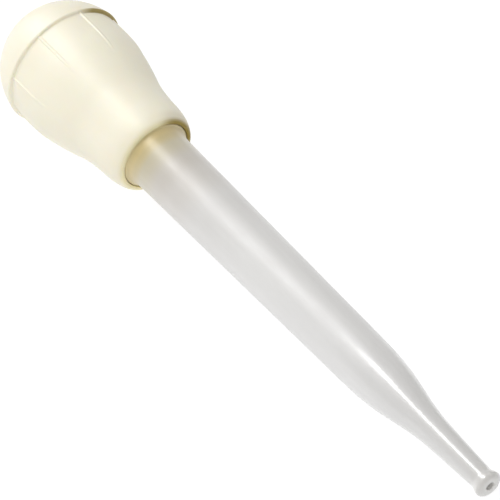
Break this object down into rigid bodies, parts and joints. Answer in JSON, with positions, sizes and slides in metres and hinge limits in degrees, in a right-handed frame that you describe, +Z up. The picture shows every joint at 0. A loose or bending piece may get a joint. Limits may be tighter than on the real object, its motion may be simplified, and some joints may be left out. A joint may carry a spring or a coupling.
{
  "type": "bulb baster",
  "caption": "Kitchen bulb baster: a cream rubber squeeze bulb with a ledge and moulded ridges, pushed over a long frosted plastic tube that narrows to a beaded nozzle.",
  "frame": {"origin": "middle of the length, under the axis, level with the lowest point of the bulb's rim", "axes": "+X along the baster's axis towards the nozzle tip, +Z up, the thumb wall on the -Y side"},
  "size_m": [0.28, 0.052, 0.052],
  "materials": {
    "bulb_rubber": "satin cream rubber",
    "tube_plastic": "frosted translucent, glossier towards the nozzle"
  },
  "bodies": {
    "bulb": {"bulb_shell": "bulb_rubber"},
    "thumb_wall": {"bulb_thumb_wall": "bulb_rubber"},
    "tube": {"baster_tube": "tube_plastic"}
  },
  "joints": [
    {"name": "bulb_squeeze", "type": "slide", "parent": "bulb", "child": "thumb_wall", "axis": [0, 1, 0], "range_m": [0, 0.018], "stiffness_N_per_m": 700},
    {"name": "tube_pull", "type": "slide", "parent": "bulb", "child": "tube", "axis": [1, 0, 0], "range_m": [0, 0.03]}
  ]
}
